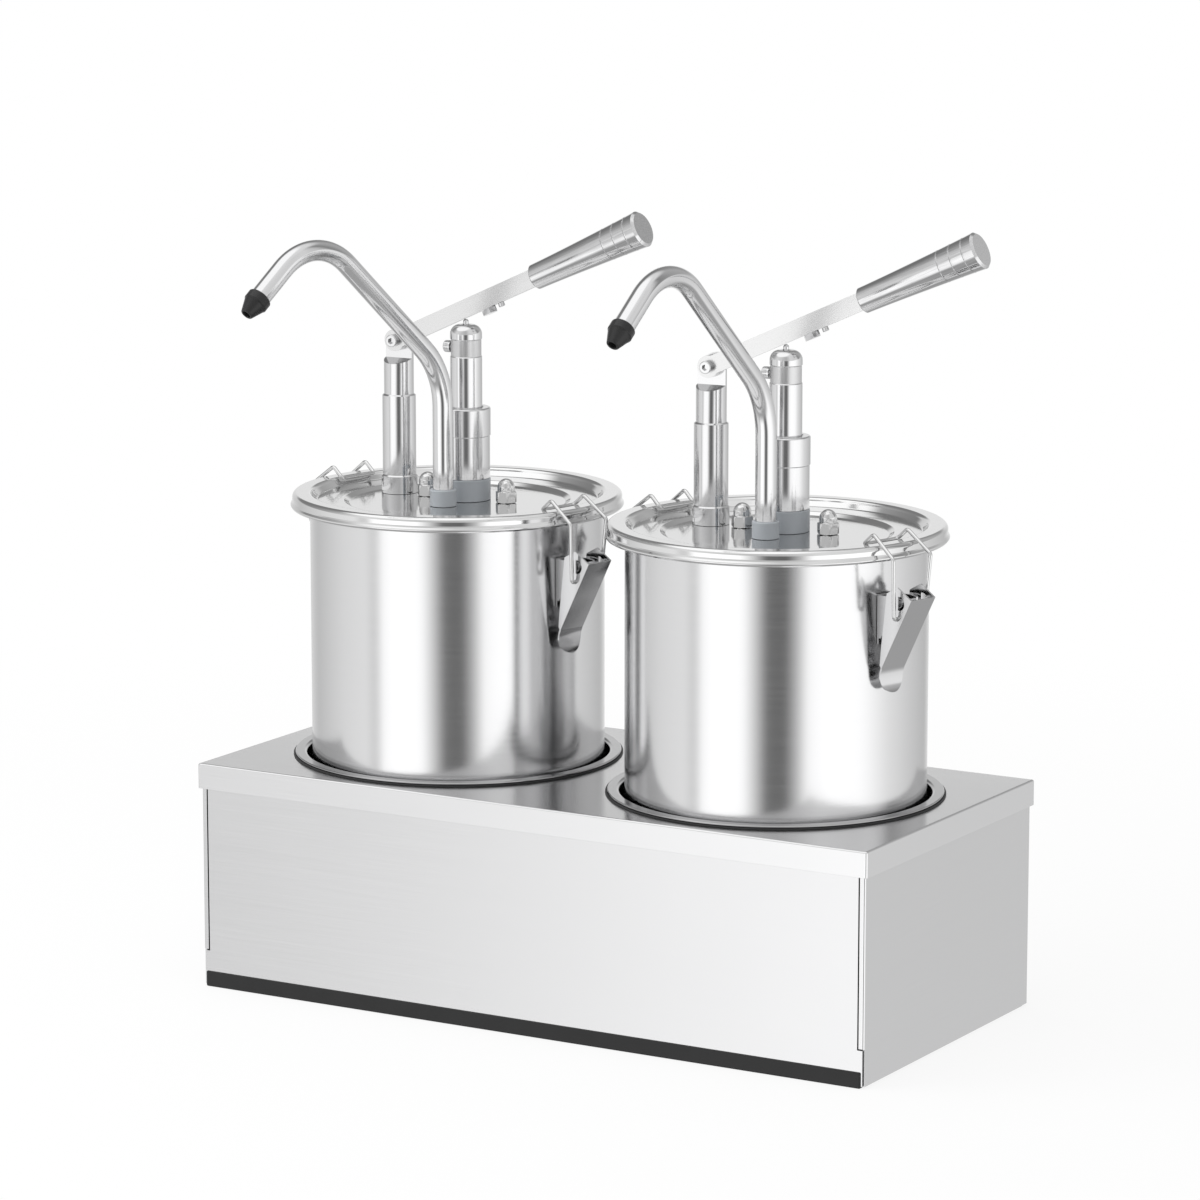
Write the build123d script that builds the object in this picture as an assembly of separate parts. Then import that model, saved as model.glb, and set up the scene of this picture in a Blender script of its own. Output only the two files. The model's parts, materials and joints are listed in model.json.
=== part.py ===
from build123d import *
from math import cos, pi, radians, sin, sqrt, tan
import os

# Countertop sauce dispenser: two pump canisters standing in a sheet-metal stand.
# Millimetres. Z is up, the front faces -Y, and the origin is the middle of the stand's footprint
# on the counter.

# Stand
cover_width = 511.4
cover_depth = 242.2
cover_top = 155.5
cover_flange = 17.3
sheet = 1.5
panel_inset = 2.0
fit_gap = 0.3
weld_gap = 0.02
well_spacing = 247.0
well_y = 1.5
wall_return = 3.8
seam_gap = 1.0
notch_height = 25.0
wall_bottom = 1.5
tray_height = 18.0

# Foot strips of black rubber
strip_height = 10.8
strip_proud = 1.2
strip_back = 2.4
strip_round = 1.1
strip_end = 2.0

# Canister
can_radius = 100.0
can_wall = 1.0
can_height = 252.9
can_shoulder_drop = 5.2
can_flare = 2.8
can_flange_radius = can_radius + 9.0
can_bead = 2.2

# Wells that the canisters stand in
well_radius = can_radius + 3.2
well_wall = 1.0
well_floor = 76.0
well_lip_radius = well_radius + 8.4
well_lip_height = 1.2
gasket_radius = well_radius + 9.6
gasket_height = 1.0

# Heights that follow from the canister
can_floor = well_floor + well_wall + fit_gap
can_flange_top = can_floor + can_height
can_shoulder = can_flange_top - can_shoulder_drop

# Lid
rim_top = can_flange_top + 6.4
rim_radius = can_radius + 12.0
rim_round = 3.0
rim_inner = can_radius - 1.0
lid_sheet = 1.2
lid_skirt_bottom = rim_top - 9.7
lid_bead = 1.4
ledge_top = rim_top - 5.5
ledge_outer = rim_inner - 3.5
ledge_inner = can_radius - 23.0
disc_top = rim_top - 7.8
disc_radius = can_radius - 27.0
seal_inner = can_radius + 1.6
seal_outer = can_radius + 7.6
seal_round = 0.8

# Pump, heights above the lid's flat disc, in the pump's own frame
pump_y = 12.8
seat_gap = 0.2
running_fit = 0.08
thread_fit = 0.02
plunger_radius = 10.9
plunger_top = 120.2
dome_height = 9.9
dome_round = 6.6
cap_band = 12.3
band_relief = 0.5
pin_radius = 1.9
pin_top = 123.6
sleeve_radius = 16.5
sleeve_neck = 16.0
sleeve_spigot = 13.6
sleeve_height = 63.5
sleeve_step = 44.5
sleeve_gland_radius = 16.3
sleeve_gland_height = 15.0
gland_chamfer = 0.8
nut_spacing = 30.8
nut_hex = 13.0
nut_hex_height = 8.0
nut_height = 16.5
nut_chamfer = 0.9
stud_radius = 4.0
block_height = 20.0
block_radius = 24.0
block_rim = 6.0
passage_radius = 3.0
passage_rise = 6.0
passage_sill = 4.0
barrel_radius = 15.0
barrel_wall = 2.0
barrel_bore = barrel_radius - barrel_wall
inlet_clearance = 15.5
valve_height = 20.0
barrel_length = disc_top - can_floor - can_wall - inlet_clearance - valve_height
rod_radius = 5.0
piston_depth = 62.0
piston_height = 16.0
piston_land = 5.0
seal_groove = 3.0
spring_radius = 10.6
spring_wire = 0.9
spring_turns = 12
spring_seat = 152.0
spring_stop = 3.0
ball_radius = 5.0
valve_bore = 3.5
valve_seat = 8.0
valve_slot = 5.0

# Knurled screw in the side of the plunger's cap
side_screw_z = 104.0
side_screw_radius = 4.1
side_screw_length = 5.4
side_screw_shank = 1.5
side_screw_depth = 7.0
knurl_count = 18
knurl_radius = 0.32

# Spout
spout_y = -31.6
spout_radius = 7.0
spout_bore = 5.6
spout_rise = 67.8
spout_bend = 55.9
spout_bend_angle = 47.1
spout_run = 92.5
spout_top_bend = 42.1
spout_down_angle = 49.8
spout_drop = 30.5
spout_gland_radius = 9.0
spout_gland_height = 11.5
spout_depth = 12.0
nozzle_length = 16.0
nozzle_overlap = 5.0
nozzle_collar = 8.3
nozzle_collar_length = 6.0
nozzle_mouth = 4.1
nozzle_bore = 2.8
nozzle_throat = 3.0

# Post and lever
post_x = -55.0
post_y = 3.2
post_foot_radius = 12.4
post_foot_height = 13.0
post_radius = 11.5
post_step = 67.5
post_neck = 10.2
post_ledge = 93.0
post_ledge_drop = 3.2
post_top = 113.6
pivot_z = 105.6
pivot_shank = 3.0
pivot_head = 4.2
pivot_head_height = 4.4
pivot_socket = 2.2
pivot_depth = 8.0
lever_rest = 24.5
bar_height = 12.0
bar_thick = 6.0
bar_nose = 7.5
bar_end = 124.0
bar_spigot = 3.0
bar_spigot_length = 46.0
grip_start = 119.5
grip_end = 210.0
grip_small = 8.75
grip_large = 12.5
grip_chamfer = 1.5
groove_depth = 0.5
groove_width = 1.0
groove_pitch = 9.5
groove_count = 3
stop_screw_at = 77.0
stop_screw_hex = 10.0
stop_screw_head = 4.0
stop_screw_shank = 2.5
stop_nub_at = 87.6
stop_nub_radius = 2.2
stop_nub_height = 3.0

# Latches, in radius from the canister's axis and height above the lid's rim
latch_pivot = (can_radius + 17.5, -37.1)
latch_ear = (can_radius + 11.5, -31.0)
latch_peak = (can_radius + 21.0, -26.0)
latch_mouth = (can_radius + 33.5, -33.3)
latch_heel = (can_radius + 7.5, -81.0)
latch_waist = (can_radius + 7.0, -66.0)
latch_wide = 22.4
latch_sheet = 1.2
latch_pin = 1.6
tab_bend = (can_radius + 5.7, -88.0)
tab_end = (can_radius + 8.2, -97.5)
tab_half = 10.6
window_reach = 1.6
window_rise = 10.4
window_radius = 4.6
bracket_wide = 16.0
bracket_sheet = 1.5
bracket_top = -34.2
bracket_low = -66.0
bracket_arm_low = -62.0
bracket_nose = 3.3

# Bails of bent wire, in the same terms
bail_pivot = (can_radius + 21.0, -46.6)
bail_kink = (can_radius + 23.0, -7.2)
bail_hump = (can_radius + 3.6, 6.8)
bail_bar = (can_radius - 5.2, -0.6)
bail_wire = 1.3
bail_foot_half = 14.0
bail_half = 17.0
bail_hook_half = 15.5
bail_round = 2.6

# How each side is turned in the photograph, degrees counter-clockwise from above
lid_turn = {"left": 1.85, "right": 4.77}
spout_heading = {"left": 15.0, "right": 5.0}
latch_turn = {
    "left": {"inner": -13.0, "outer": 168.0},
    "right": {"inner": 163.5, "outer": -17.0},
}
sides = ("left", "right")

well_x = {"left": -well_spacing / 2, "right": well_spacing / 2}
body_width = cover_width - 2 * panel_inset
body_depth = cover_depth - 2 * panel_inset
far = 400.0


def well_frame(side):
    return Location((well_x[side], well_y, 0))


def pump_frame(side):
    turned = Location((0, 0, disc_top), (0, 0, lid_turn[side]))
    return well_frame(side) * turned * Location((0, pump_y, 0))


def latch_frame(side, which):
    return well_frame(side) * Location((0, 0, rim_top), (0, 0, latch_turn[side][which]))


def cylinder_up(radius, low, high):
    base = Plane.XY.offset(low)
    return extrude(base * Circle(radius), high - low)


def tube_up(outer, inner, low, high):
    base = Plane.XY.offset(low)
    return extrude(base * (Circle(outer) - Circle(inner)), high - low)


def cylinder_along_y(radius, x, z, front, back):
    face = Plane(origin=(x, front, z), x_dir=(1, 0, 0), z_dir=(0, 1, 0))
    return extrude(face * Circle(radius), back - front)


def turned_profile(*edges):
    """Revolve a closed outline, drawn as radius and height, about Z."""
    face = make_face(edges)
    return revolve(Plane.XZ * face, Axis.Z)


def outline(*points):
    return Polyline(*points, close=True)


def both_wells(build):
    shapes = [well_frame(side) * build() for side in sides]
    return Compound(children=shapes)


# Stand pieces

def cover():
    """Folded lid of the stand with a mitred skirt and two round holes."""
    block = Pos(0, 0, cover_top - cover_flange / 2) * Box(cover_width, cover_depth, cover_flange)
    block = fillet(block.edges().filter_by(Axis.Z), sheet)
    block = fillet(block.edges().group_by(Axis.Z)[-1], sheet)
    inside = Box(cover_width - 2 * sheet, cover_depth - 2 * sheet, cover_flange)
    block -= Pos(0, 0, cover_top - sheet - cover_flange / 2) * inside
    for side in sides:
        hole = cylinder_up(well_radius + well_wall + fit_gap, 0, cover_top + 1)
        block -= well_frame(side) * hole
    return block


def front_panel():
    """Flat front sheet, wider below the corner notches."""
    half = body_width / 2 - wall_return - seam_gap
    low_half = body_width / 2 - seam_gap
    top = cover_top - sheet - fit_gap
    shape = Polyline(
        (-low_half, wall_bottom),
        (low_half, wall_bottom),
        (low_half, notch_height),
        (half, notch_height),
        (half, top),
        (-half, top),
        (-half, notch_height),
        (-low_half, notch_height),
        close=True,
    )
    face = Plane.XZ.offset(body_depth / 2 - sheet) * make_face(shape)
    return extrude(face, sheet)


def body_wrap():
    """One sheet folded round the two ends and the rear, with narrow returns at the front."""
    top = cover_top - sheet - fit_gap
    outer = Rectangle(body_width, body_depth)
    inner = Rectangle(body_width - 2 * sheet, body_depth - 2 * sheet)
    outer = fillet(outer.vertices(), sheet)
    ring = Plane.XY.offset(wall_bottom) * (outer - inner)
    wrap = extrude(ring, top - wall_bottom)
    opening = Box(body_width - 2 * wall_return, 4 * sheet, 2 * top)
    wrap -= Pos(0, -body_depth / 2, 0) * opening
    notch = Box(2 * body_width, 2 * sheet, 2 * (notch_height + seam_gap))
    wrap -= Pos(0, -body_depth / 2, 0) * notch
    return wrap


def floor_pan():
    """Shallow tray that ties the walls together at the bottom, with turned-up edges."""
    width = body_width - 2 * sheet - 2 * fit_gap
    depth = body_depth - 2 * (sheet + strip_back + fit_gap)
    tray = Pos(0, 0, tray_height / 2) * Box(width, depth, tray_height)
    inside = Box(width - 2 * sheet, depth - 2 * sheet, tray_height)
    tray -= Pos(0, 0, sheet + tray_height / 2) * inside
    return tray


def foot_strips():
    """Moulded edging pushed over the bottom edges of the front and rear sheets."""
    length = body_width - 2 * strip_end
    thick = strip_proud + sheet + strip_back
    bar = Pos(0, 0, strip_height / 2) * Box(length, thick, strip_height)
    bar = fillet(bar.edges().filter_by(Axis.X), strip_round)
    bar = fillet(bar.edges().filter_by(Axis.Z), strip_round)
    slot_y = -thick / 2 + strip_proud + sheet / 2
    slot = Box(2 * length, sheet, strip_height)
    bar -= Pos(0, slot_y, wall_bottom + strip_height / 2) * slot
    front = Pos(0, -body_depth / 2 + sheet / 2 - slot_y, 0) * bar
    return Compound(children=[front, mirror(front, about=Plane.XZ)])


def well_wall_ring():
    """Rolled wall of a well, whose flat lip rests on the cover."""
    top = cover_top + gasket_height + fit_gap
    outer = well_radius + well_wall
    edge = well_lip_height / 2
    profile = outline(
        (well_radius, well_floor),
        (outer, well_floor),
        (outer, top),
        (well_lip_radius, top),
        (well_lip_radius, top + edge),
        (well_lip_radius - edge, top + well_lip_height),
        (well_radius + edge, top + well_lip_height),
        (well_radius, top + edge),
    )
    return turned_profile(profile)


def well_base():
    """Floor disc welded into a well's wall."""
    return cylinder_up(well_radius - weld_gap, well_floor, well_floor + well_wall)


def well_gasket():
    inner = well_radius + well_wall + fit_gap
    ring = tube_up(gasket_radius, inner, cover_top, cover_top + gasket_height)
    return fillet(ring.edges().group_by(Axis.Z)[-1].sort_by(SortBy.RADIUS)[-1], gasket_height / 2)


# Canister and lid

def can():
    """Canister's rolled wall with a flared neck and a beaded flange."""
    r, t = can_radius, can_wall
    flange_low = can_flange_top - t
    profile = outline(
        (r - t, can_floor),
        (r, can_floor),
        (r, can_shoulder),
        (r + can_flare, flange_low),
        (can_flange_radius - t, flange_low),
        (can_flange_radius - t, flange_low - can_bead),
        (can_flange_radius, flange_low - can_bead),
        (can_flange_radius, can_flange_top),
        (r + can_flare - t, can_flange_top),
        (r - t, can_shoulder + t / 2),
    )
    return turned_profile(profile)


def can_base():
    """Flat disc welded into the foot of a canister."""
    return cylinder_up(can_radius - can_wall - weld_gap, can_floor, can_floor + can_wall)


def lid_blank():
    """Pressed lid: bead, skirt, round rim, sloping wall, ledge and mirror disc."""
    t = lid_sheet
    high = rim_top
    inner_r = rim_radius - t
    bead_z = lid_skirt_bottom + lid_bead
    rim_shift = rim_round * (1 - cos(pi / 4))
    under_round = rim_round - t
    under_shift = under_round * (1 - cos(pi / 4))
    crown_r = rim_radius - rim_round
    crown_z = high - rim_round
    wall_r = rim_inner + rim_round
    edges = [
        Polyline((0, disc_top - t), (disc_radius, disc_top - t), (ledge_inner, ledge_top - t),
                 (ledge_outer + t / 2, ledge_top - t), (rim_inner + t, crown_z)),
        ThreePointArc((rim_inner + t, crown_z), (rim_inner + t + under_shift, high - t - under_shift),
                      (wall_r, high - t)),
        Polyline((wall_r, high - t), (crown_r, high - t)),
        ThreePointArc((crown_r, high - t), (inner_r - under_shift, high - t - under_shift),
                      (inner_r, crown_z)),
        Polyline((inner_r, crown_z), (inner_r, lid_skirt_bottom), (rim_radius, lid_skirt_bottom)),
        ThreePointArc((rim_radius, lid_skirt_bottom), (rim_radius + lid_bead, bead_z),
                      (rim_radius, bead_z + lid_bead)),
        Polyline((rim_radius, bead_z + lid_bead), (rim_radius, crown_z)),
        ThreePointArc((rim_radius, crown_z), (rim_radius - rim_shift, high - rim_shift), (crown_r, high)),
        Polyline((crown_r, high), (wall_r, high)),
        ThreePointArc((wall_r, high), (rim_inner + rim_shift, high - rim_shift), (rim_inner, crown_z)),
        Polyline((rim_inner, crown_z), (ledge_outer, ledge_top), (ledge_inner, ledge_top),
                 (disc_radius, disc_top), (0, disc_top), (0, disc_top - t)),
    ]
    return turned_profile(*edges)


def lid(side):
    blank = well_frame(side) * lid_blank()
    low, high = -block_height, block_height
    holes = cylinder_up(barrel_radius + fit_gap, low, high)
    holes += Pos(0, spout_y, 0) * cylinder_up(spout_radius + 2 * fit_gap, low, high)
    for x in (-nut_spacing, nut_spacing):
        holes += Pos(x, 0, 0) * cylinder_up(stud_radius + fit_gap, low, high)
    holes += Pos(post_x, post_y, 0) * cylinder_up(stud_radius + fit_gap, low, high)
    return blank - pump_frame(side) * holes


def lid_seal():
    ring = tube_up(seal_outer, seal_inner, can_flange_top, rim_top - lid_sheet)
    return fillet(ring.edges(), seal_round)


# Latches

def radial_plate(points, low, high):
    """Extrude an outline drawn in radius and height across the latch's width."""
    face = Plane(origin=(0, high, 0), x_dir=(1, 0, 0), z_dir=(0, -1, 0)) * make_face(outline(*points))
    return extrude(face, high - low)


def latch_lever():
    """Folded channel with two cheeks, an open top, a window by the wire and a curled finger tab."""
    half = latch_wide / 2
    t = latch_sheet
    lip = (latch_heel[0] - 1.4 * t, latch_heel[1] + 1.6 * t)
    cheek = [latch_ear, latch_peak, latch_mouth, latch_heel, lip, latch_waist]
    back = [(latch_mouth[0] - t, latch_mouth[1] + t / 4), latch_mouth, latch_heel,
            (latch_heel[0] - t, latch_heel[1] + t / 2)]
    shape = radial_plate(cheek, -half, -half + t)
    shape += radial_plate(cheek, half - t, half)
    shape += radial_plate(back, -half, half)
    shape += finger_tab()
    for pivot, radius in ((latch_pivot, latch_pin), (bail_pivot, bail_wire)):
        shape -= cylinder_along_y(radius + running_fit, pivot[0], pivot[1], -latch_wide, latch_wide)
    return shape - cheek_window()


def cheek_window():
    """Half-round window through both cheeks, outward of the bail's leg."""
    x, z = bail_pivot[0] + window_reach, bail_pivot[1] + window_rise
    round_hole = cylinder_along_y(window_radius, x, z, -latch_wide, latch_wide)
    inward = Pos(x - 1.2 * window_radius, 0, z) * Box(2 * window_radius, 4 * latch_wide, far)
    return round_hole - inward


def finger_tab():
    """Tab below the channel, curled outward, with a rounded end."""
    t = latch_sheet
    bend = ThreePointArc(latch_heel, tab_bend, tab_end)
    inner_end = (tab_end[0] - t, tab_end[1])
    inner_heel = (latch_heel[0] - t, latch_heel[1] + t / 2)
    inner_bend = ThreePointArc(inner_end, (tab_bend[0] - t, tab_bend[1]), inner_heel)
    face = make_face([bend, Line(tab_end, inner_end), inner_bend, Line(inner_heel, latch_heel)])
    start = Plane(origin=(0, tab_half, 0), x_dir=(1, 0, 0), z_dir=(0, -1, 0))
    tab = extrude(start * face, 2 * tab_half)
    outline_width = SlotOverall(far, 2 * tab_half, 90)
    keep = Plane(origin=(0, 0, tab_end[1] + far / 2), x_dir=(0, 1, 0), z_dir=(1, 0, 0)) * outline_width
    return tab & extrude(keep, far)


def latch_bail():
    """Wire hook: two legs with turned-in ends, a hump over the rim and a cross bar inside it."""
    inner = latch_wide / 2 - latch_sheet
    legs = []
    for turn in (1, -1):
        legs.append([
            (bail_pivot[0], turn * inner, bail_pivot[1]),
            (bail_pivot[0], turn * bail_foot_half, bail_pivot[1]),
            (bail_kink[0], turn * bail_half, bail_kink[1]),
            (bail_hump[0], turn * bail_hook_half, bail_hump[1]),
            (bail_bar[0], turn * bail_hook_half, bail_bar[1]),
        ])
    path = FilletPolyline(*legs[0], *legs[1][::-1], radius=bail_round)
    start = Plane(origin=path @ 0, z_dir=path % 0)
    return sweep(start * Circle(bail_wire), path=path)


def latch_brackets(side):
    """Two channels welded to the canister's wall, each with its hinge pin."""
    shapes = []
    for which in ("inner", "outer"):
        shapes.append(latch_frame(side, which) * latch_bracket())
    return Compound(children=shapes)


def latch_bracket():
    """Two arms on a curved pad, with the hinge pin through them."""
    half = bracket_wide / 2
    t = bracket_sheet
    wall = can_radius + 0.1
    x, z = latch_pivot
    arm = [
        (can_radius, bracket_top),
        (x - bracket_nose, bracket_top + t / 2),
        (x + bracket_nose, bracket_top),
        (x + bracket_nose, z - bracket_nose / 2),
        (x - bracket_nose, z - 2 * bracket_nose),
        (can_radius + bracket_nose, bracket_arm_low),
        (can_radius, bracket_arm_low),
    ]
    shape = radial_plate(arm, -half, -half + t)
    shape += radial_plate(arm, half - t, half)
    pad = radial_plate([(0, bracket_low), (wall + t, bracket_low), (wall + t, bracket_top), (0, bracket_top)],
                       -half, half)
    shape += pad & cylinder_up(wall + fit_gap + t, -far, far)
    shape -= cylinder_up(wall + fit_gap, -far, far)
    pin_half = latch_wide / 2 + running_fit
    shape += cylinder_along_y(latch_pin, x, z, -pin_half, pin_half)
    return shape


# Pump, all in the pump's own frame

def pump_sleeve():
    """Guide tube that stands on its gland, with a narrow spigot through the lid."""
    bore = plunger_radius + running_fit
    shoulder = sleeve_gland_height + seat_gap / 2
    profile = outline(
        (bore, -2 * lid_sheet + fit_gap),
        (sleeve_spigot, -2 * lid_sheet + fit_gap),
        (sleeve_spigot, shoulder),
        (sleeve_neck, shoulder),
        (sleeve_neck, sleeve_step - 0.5),
        (sleeve_radius, sleeve_step),
        (sleeve_radius, sleeve_height - 1.0),
        (sleeve_radius - 1.0, sleeve_height),
        (plunger_radius + 1.0, sleeve_height),
        (bore, sleeve_height - 0.8),
    )
    return turned_profile(profile)


def gland(bore, outer, height):
    """Collar ring with a chamfered top edge."""
    profile = outline(
        (bore, seat_gap),
        (outer, seat_gap),
        (outer, height - gland_chamfer),
        (outer - gland_chamfer, height),
        (bore, height),
    )
    return turned_profile(profile)


def lid_glands():
    """Grey rings under the sleeve and round the foot of the spout."""
    sleeve_ring = gland(sleeve_spigot + running_fit, sleeve_gland_radius, sleeve_gland_height)
    spout_ring = gland(spout_radius + running_fit, spout_gland_radius, spout_gland_height)
    return Compound(children=[sleeve_ring, Pos(0, spout_y, 0) * spout_ring])


def pump_post():
    """Stepped post whose top is milled to a half-round tongue above a sloping ledge."""
    profile = outline(
        (0, seat_gap),
        (post_foot_radius, seat_gap),
        (post_foot_radius, post_foot_height - 1.0),
        (post_foot_radius - 1.0, post_foot_height),
        (post_radius, post_foot_height),
        (post_radius, post_step),
        (post_neck, post_step + 1.0),
        (post_neck, post_top),
        (0, post_top),
    )
    post = turned_profile(profile)
    wide = 2 * post_neck
    slope = post_ledge_drop * wide / post_neck
    high = 2 * post_top
    milled = make_face(outline((0, post_ledge), (0, high), (-wide, high), (-wide, post_ledge - slope)))
    post -= extrude(Plane.YZ.offset(-wide) * milled, 2 * wide)
    crown_z = post_top - post_neck
    above = Pos(0, 0, crown_z + wide) * Box(2 * wide, 2 * wide, 2 * wide)
    post -= above - cylinder_along_y(post_neck, 0, crown_z, -wide, wide)
    post += cylinder_up(stud_radius, -block_height / 2, seat_gap)
    post -= cylinder_along_y(pivot_shank + thread_fit, 0, pivot_z, -wide, pivot_depth)
    return Pos(post_x, post_y, 0) * post


def acorn_nut():
    """Chamfered hexagon with a domed cap."""
    hexagon = extrude(Plane.XY.offset(seat_gap) * RegularPolygon(nut_hex / 2, 6, major_radius=False),
                      nut_hex_height - seat_gap)
    flat = nut_hex / 2
    limit = turned_profile(outline(
        (0, seat_gap),
        (flat, seat_gap),
        (flat + nut_chamfer, seat_gap + nut_chamfer),
        (flat + nut_chamfer, nut_hex_height - nut_chamfer),
        (flat, nut_hex_height),
        (0, nut_hex_height),
    ))
    dome_r = flat - nut_chamfer / 1.5
    neck = nut_height - dome_r
    lower_half = Pos(0, 0, -dome_r) * Box(4 * dome_r, 4 * dome_r, 2 * dome_r)
    dome = cylinder_up(dome_r, seat_gap, neck) + Pos(0, 0, neck) * (Sphere(dome_r) - lower_half)
    nut = (hexagon & limit) + dome
    return nut - cylinder_up(stud_radius + thread_fit, -1, nut_hex_height + 2)


def cap_nuts():
    nuts = [Pos(x, 0, 0) * acorn_nut() for x in (-nut_spacing, nut_spacing)]
    return Compound(children=nuts)


def pump_block():
    """Plate under the lid with two studs, the pump seat and the passage to the spout."""
    top = -lid_sheet - fit_gap
    low = top - block_height
    plan = Circle(block_radius)
    plan += Pos(0, spout_y) * Circle(spout_radius + block_rim)
    plan += Rectangle(2 * nut_spacing, 2 * (stud_radius + block_rim - 1))
    for x in (-nut_spacing, nut_spacing):
        plan += Pos(x, 0) * Circle(stud_radius + block_rim - 1)
    plan += Pos(0, spout_y / 2) * Rectangle(2 * (spout_radius + block_rim), -spout_y)
    block = extrude(Plane.XY.offset(low) * plan, block_height)
    block -= cylinder_up(barrel_radius + running_fit, low - 1, top + 1)
    block -= Pos(0, spout_y, 0) * cylinder_up(spout_radius + running_fit, -spout_depth - fit_gap, top + 1)
    block -= Pos(0, spout_y, 0) * cylinder_up(spout_bore, low + passage_sill, top)
    block -= cylinder_along_y(passage_radius, 0, low + passage_rise, spout_y, 0)
    block -= Pos(post_x, post_y, 0) * cylinder_up(post_foot_radius, low - 1, top + 1)
    for x in (-nut_spacing, nut_spacing):
        block += Pos(x, 0, 0) * cylinder_up(stud_radius, top, nut_hex_height + 1.5)
    return block


def pump_barrel():
    """Long tube under the lid in which the piston runs."""
    low = -barrel_length
    top = -2 * lid_sheet
    throat = plunger_radius + 2 * running_fit
    neck = block_height + barrel_radius / 3
    profile = outline(
        (throat, top),
        (barrel_radius, top),
        (barrel_radius, low),
        (barrel_bore, low),
        (barrel_bore, -neck - block_height + 2.0),
        (throat, -neck - block_height + 4.0),
    )
    barrel = turned_profile(profile)
    barrel += tube_up(barrel_bore + 0.5, spring_radius - 3.0, -spring_seat - spring_stop, -spring_seat)
    port_z = -lid_sheet - fit_gap - block_height + passage_rise
    return barrel - cylinder_along_y(passage_radius, 0, port_z, -2 * barrel_radius, 0)


def plunger():
    """Push rod with a matt band, a round-shouldered cap, a contact pin and the piston at its foot."""
    top = plunger_top
    cap_top = top - fit_gap
    shoulder = top - dome_height
    band = shoulder - cap_band
    low = -piston_depth
    foot = low - piston_height
    fit = barrel_bore - running_fit
    round_r = plunger_radius - dome_round
    round_mid = dome_round * (1 - cos(pi / 4))
    edges = [
        Polyline((0, foot), (fit, foot), (fit, foot + piston_land),
                 (barrel_bore - seal_groove, foot + piston_land),
                 (barrel_bore - seal_groove, low - piston_land),
                 (fit, low - piston_land), (fit, low), (plunger_radius - 2, low),
                 (rod_radius, low + 4), (rod_radius, -8), (plunger_radius, -4),
                 (plunger_radius, band), (plunger_radius - band_relief, band + 0.6),
                 (plunger_radius - band_relief, shoulder - 0.6), (plunger_radius, shoulder),
                 (plunger_radius, cap_top - dome_round)),
        ThreePointArc((plunger_radius, cap_top - dome_round), (plunger_radius - round_mid, cap_top - round_mid),
                      (round_r, cap_top)),
        Polyline((round_r, cap_top), (pin_radius, top), (0, top), (0, foot)),
    ]
    rod = turned_profile(*edges)
    rod += cylinder_up(pin_radius, top - 2, pin_top - pin_radius)
    rod += Pos(0, 0, pin_top - pin_radius) * Sphere(pin_radius)
    return rod - side_screw_shaft(side_screw_shank + thread_fit)


def side_screw_shaft(radius):
    """Round bar along X from the head of the side screw into the cap."""
    start = Plane(origin=(-plunger_radius - 1, 0, side_screw_z), z_dir=(1, 0, 0))
    return extrude(start * Circle(radius), side_screw_depth + 1)


def piston_seal():
    low = -piston_depth - piston_height + piston_land + fit_gap
    high = -piston_depth - piston_land - fit_gap
    ring = tube_up(barrel_bore - running_fit, barrel_bore - seal_groove + running_fit, low, high)
    return fillet(ring.edges().group_by(Axis.Z)[-1].sort_by(SortBy.RADIUS)[-1], 0.6)


def cap_screw():
    """Small knurled screw in the left flank of the cap."""
    head_start = -plunger_radius - side_screw_length
    plane = Plane(origin=(head_start, 0, side_screw_z), z_dir=(1, 0, 0))
    head = extrude(plane * Circle(side_screw_radius), side_screw_length - fit_gap)
    head = fillet(head.edges().sort_by(Axis.X)[0], 0.8)
    flute = Plane(origin=(head_start - 1, 0, side_screw_z), z_dir=(1, 0, 0))
    for index in range(knurl_count):
        angle = 2 * pi * index / knurl_count
        spot = Pos(side_screw_radius * cos(angle), side_screw_radius * sin(angle))
        head -= extrude(flute * spot * Circle(knurl_radius), side_screw_length - 2 * fit_gap)
    return head + side_screw_shaft(side_screw_shank)


def return_spring():
    """Compression spring between the piston and the seat in the barrel."""
    high = -piston_depth - piston_height - spring_wire - fit_gap
    low = -spring_seat + spring_wire + fit_gap
    pitch = (high - low) / spring_turns
    path = Helix(pitch=pitch, height=high - low, radius=spring_radius)
    start = Plane(origin=path @ 0, z_dir=path % 0)
    wire = sweep(start * Circle(spring_wire), path=path)
    return Pos(0, 0, low) * wire


def foot_valve():
    """Strainer cup at the barrel's foot with a loose check ball on its seat."""
    top = -barrel_length + 12
    low = -barrel_length - valve_height
    rim = -barrel_length - fit_gap
    fit = barrel_bore - running_fit
    throat = barrel_bore - 3.0
    profile = outline(
        (valve_bore, low + valve_seat / 2),
        (2 * valve_bore, low),
        (barrel_radius, low + 2),
        (barrel_radius, rim),
        (fit, rim),
        (fit, top),
        (throat, top),
        (throat, low + valve_seat + 3),
        (valve_bore, low + valve_seat),
    )
    cup = turned_profile(profile)
    for turn in (0, 90, 180, 270):
        slot = Pos(0, barrel_radius, low) * Box(valve_slot, valve_slot, valve_slot / 2)
        cup -= Rot(0, 0, turn) * slot
    rise = sqrt(ball_radius ** 2 - valve_bore ** 2) + running_fit
    ball = Pos(0, 0, low + valve_seat + rise) * Sphere(ball_radius)
    return Compound(children=[cup, ball])


# Spout, in a frame at its foot with the outlet pointing along -Y

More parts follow.
